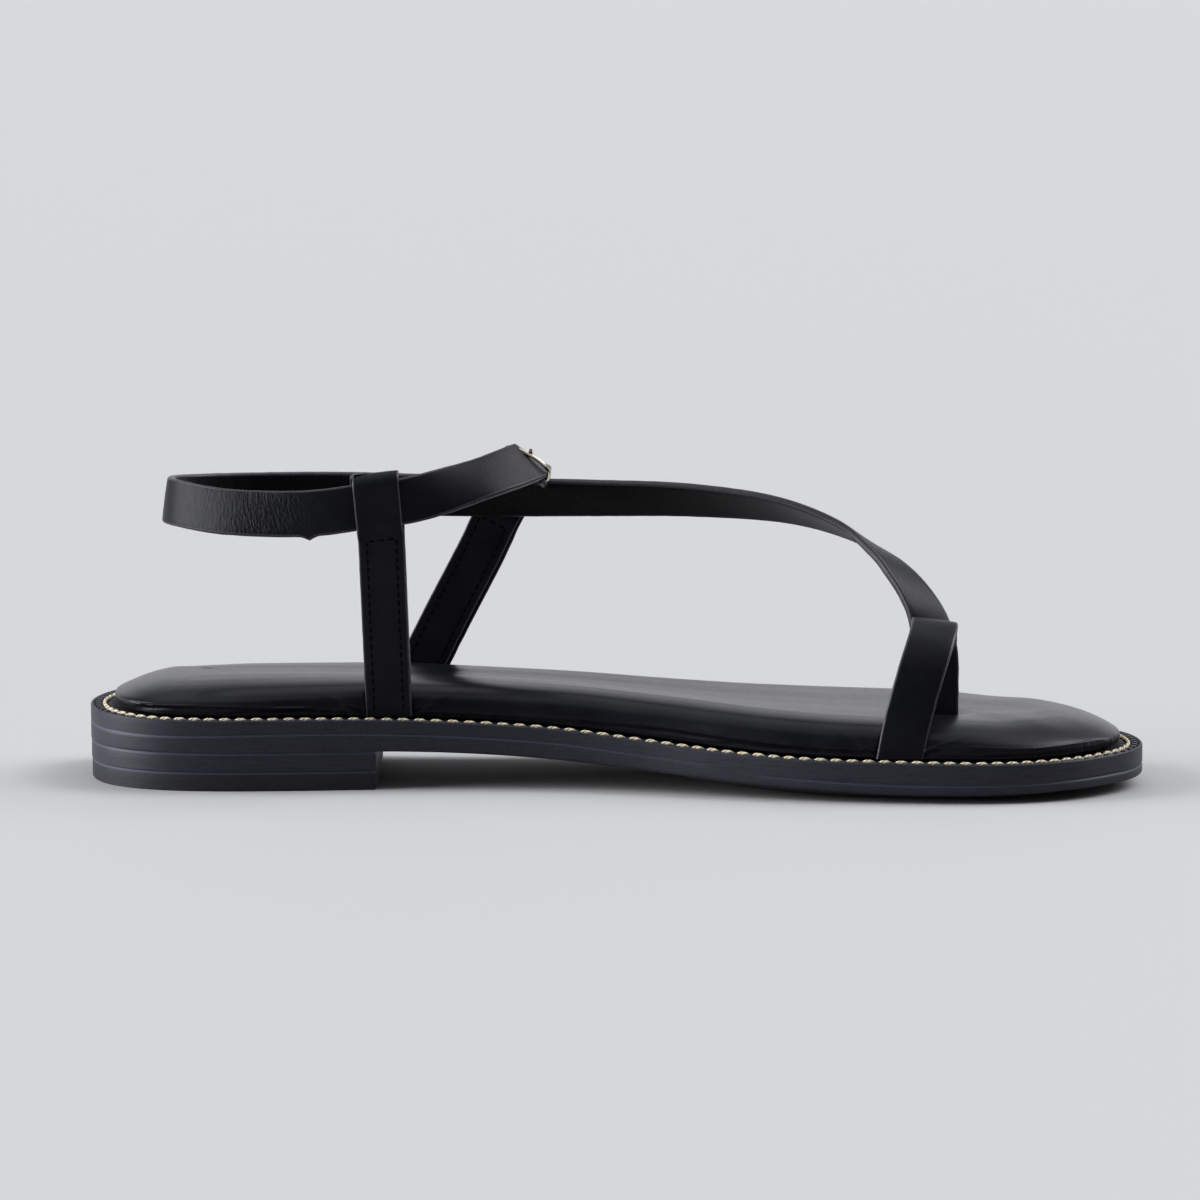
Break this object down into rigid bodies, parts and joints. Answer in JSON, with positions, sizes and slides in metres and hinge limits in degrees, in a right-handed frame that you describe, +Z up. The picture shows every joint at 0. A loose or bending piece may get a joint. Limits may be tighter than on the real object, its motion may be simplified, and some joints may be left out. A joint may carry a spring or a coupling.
{
  "type": "strappy flat sandal",
  "caption": "Flat toe-loop sandal for a left foot: narrow black leather straps with a small ankle buckle over a padded footbed on a stitched sole with a low heel.",
  "frame": {"origin": "on the floor, under the middle of the object's box", "axes": "+X towards the toe, +Y towards the little toe of a left foot, +Z up"},
  "size_m": [0.255, 0.0918, 0.0814],
  "materials": {
    "tread": "matt black moulded rubber",
    "sole": "satin charcoal edge with fine grain along it",
    "footbed_leather": "smooth black leather with a soft gloss",
    "strap_leather": "smooth black leather, half matt",
    "buckle_metal": "polished, pale gold plated"
  },
  "bodies": {
    "root": {"heel_top_piece": "tread", "heel_lift": "sole", "outsole": "sole", "midsole": "sole", "footbed": "footbed_leather", "upper": "strap_leather", "medial_post": "strap_leather", "buckle_frame": "buckle_metal", "buckle_prong": "buckle_metal"}
  },
  "joints": []
}
